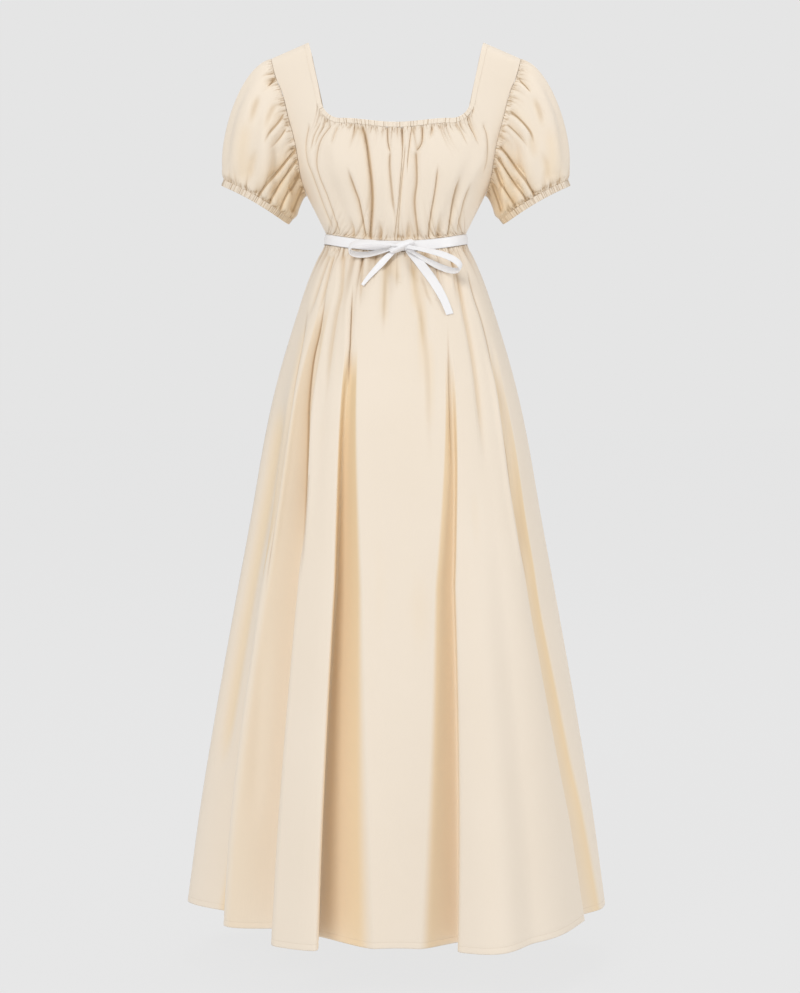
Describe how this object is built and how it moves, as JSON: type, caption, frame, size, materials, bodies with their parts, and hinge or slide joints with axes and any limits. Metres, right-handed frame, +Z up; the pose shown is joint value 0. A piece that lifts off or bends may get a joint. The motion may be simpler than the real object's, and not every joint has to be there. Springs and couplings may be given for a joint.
{
  "type": "maxi dress",
  "caption": "Empire-line maxi dress filled out as worn: square neck, short puff sleeves, gathered waist with a narrow ribbon belt and bow, long full folded skirt.",
  "frame": {"origin": "between the two shoulder seams, level with their middles, where the wearer's shoulders carry the dress", "axes": "+Z up the wearer's body, the front of the dress faces -Y, +X to the wearer's left"},
  "size_m": [0.6735, 0.6674, 1.3736],
  "materials": {
    "cream_cloth": "smooth, softly lustrous cream woven cloth",
    "white_ribbon": "white satin ribbon"
  },
  "bodies": {
    "root": {"bodice_front": "cream_cloth", "bodice_back": "cream_cloth", "neck_casing": "cream_cloth", "waist_casing": "cream_cloth", "skirt_front": "cream_cloth", "skirt_back": "cream_cloth", "sleeve_left": "cream_cloth", "sleeve_right": "cream_cloth", "cuff_left": "cream_cloth", "cuff_right": "cream_cloth", "ribbon_band": "white_ribbon", "ribbon_knot": "white_ribbon", "ribbon_loop_left": "white_ribbon", "ribbon_loop_right": "white_ribbon", "ribbon_tail_left": "white_ribbon", "ribbon_tail_right": "white_ribbon"}
  },
  "joints": []
}
